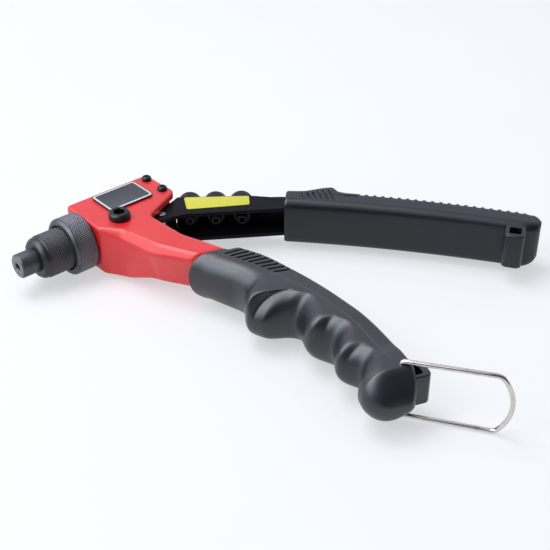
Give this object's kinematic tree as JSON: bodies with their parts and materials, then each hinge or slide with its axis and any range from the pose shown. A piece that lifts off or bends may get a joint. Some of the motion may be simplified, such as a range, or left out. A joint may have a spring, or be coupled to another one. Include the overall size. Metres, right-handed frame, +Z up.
{
  "type": "hand lever riveter",
  "caption": "Hand lever riveter with a knurled nose, three-jaw puller, moulded finger grip, channel lever carrying spare nosepieces and a wire bail.",
  "frame": {"origin": "centre of the fitted nosepiece's front face, on the tool's mid-plane", "axes": "X runs back along the nose axis, Y runs across the tool with both handles leaving towards -Y, Z is up when the tool lies on its side with the plate on top"},
  "size_m": [0.1936, 0.2187, 0.0295],
  "materials": {
    "red_paint": "satin-gloss stoved paint on cast metal",
    "phosphate_steel": "dark phosphated steel",
    "bright_steel": "plain turned and ground steel",
    "black_screw": "black oxide",
    "bush_bronze": "sintered bronze",
    "plate_print": "dark plate with a light border, no print",
    "black_paint": "black paint on folded steel plate",
    "sticker_film": "plain yellow film, no print",
    "grip_rubber": "soft moulded grip",
    "sleeve_plastic": "moulded handle sleeve",
    "nickel_wire": "nickel plated spring wire",
    "spring_wire": "plain spring wire"
  },
  "bodies": {
    "tool_frame": {"body_casting": "red_paint", "nose_housing": "phosphate_steel", "nosepiece": "phosphate_steel", "rear_block": "black_screw", "rear_screws": "black_screw", "pivot_bolt": "black_screw", "pivot_bush": "bush_bronze", "pivot_nut": "black_screw", "side_plate": "plate_print", "fixed_grip": "grip_rubber", "return_spring": "spring_wire"},
    "ring": {"lock_ring": "phosphate_steel"},
    "lever": {"lever_channel": "black_paint", "tie_pin": "bright_steel", "lever_sticker": "sticker_film", "lever_sleeve": "sleeve_plastic", "spare_nose_small": "phosphate_steel", "spare_nose_medium": "phosphate_steel", "spare_nose_large": "phosphate_steel"},
    "carriage": {"jaw_case": "bright_steel", "pull_tube": "bright_steel", "jaw_spring": "spring_wire"},
    "pusher": {"jaw_pusher": "bright_steel"},
    "jaw_top": {"jaw_top": "bright_steel"},
    "jaw_left": {"jaw_left": "bright_steel"},
    "jaw_right": {"jaw_right": "bright_steel"},
    "wire_bail": {"bail": "nickel_wire"}
  },
  "joints": [
    {"name": "handle_squeeze", "type": "hinge", "parent": "tool_frame", "child": "lever", "pos_m": [0.0476, -0.012, 0], "axis": [0, 0, -1], "range_deg": [0, 33], "stiffness_Nm_per_rad": 0.8, "springref_deg": -11.46},
    {"name": "jaw_pull", "type": "slide", "parent": "tool_frame", "child": "carriage", "axis": [1, 0, 0], "range_m": [0, 0.0072], "deforming": ["return_spring"]},
    {"name": "pusher_slide", "type": "slide", "parent": "carriage", "child": "pusher", "axis": [-1, 0, 0], "range_m": [0, 0.0012], "deforming": ["jaw_spring"]},
    {"name": "jaw_top_slide", "type": "slide", "parent": "carriage", "child": "jaw_top", "axis": [-0.9848, 0, -0.1736], "range_m": [0, 0.0012]},
    {"name": "jaw_left_slide", "type": "slide", "parent": "carriage", "child": "jaw_left", "axis": [-0.9848, -0.1504, 0.0868], "range_m": [0, 0.0012]},
    {"name": "jaw_right_slide", "type": "slide", "parent": "carriage", "child": "jaw_right", "axis": [-0.9848, 0.1504, 0.0868], "range_m": [0, 0.0012]},
    {"name": "ring_turn", "type": "hinge", "parent": "tool_frame", "child": "ring", "pos_m": [0.03, 0, 0], "axis": [1, 0, 0], "continuous": true},
    {"name": "bail_swing", "type": "hinge", "parent": "tool_frame", "child": "wire_bail", "pos_m": [0.06675, -0.16871, 0], "axis": [0, 0, 1], "range_deg": [-120, 0]}
  ],
  "couplings": [
    {"joint": "jaw_pull", "follows": "handle_squeeze", "m_per_rad": 0.012},
    {"joint": "pusher_slide", "follows": "handle_squeeze", "m_per_rad": 0.002},
    {"joint": "jaw_top_slide", "follows": "handle_squeeze", "m_per_rad": 0.002},
    {"joint": "jaw_left_slide", "follows": "handle_squeeze", "m_per_rad": 0.002},
    {"joint": "jaw_right_slide", "follows": "handle_squeeze", "m_per_rad": 0.002}
  ]
}
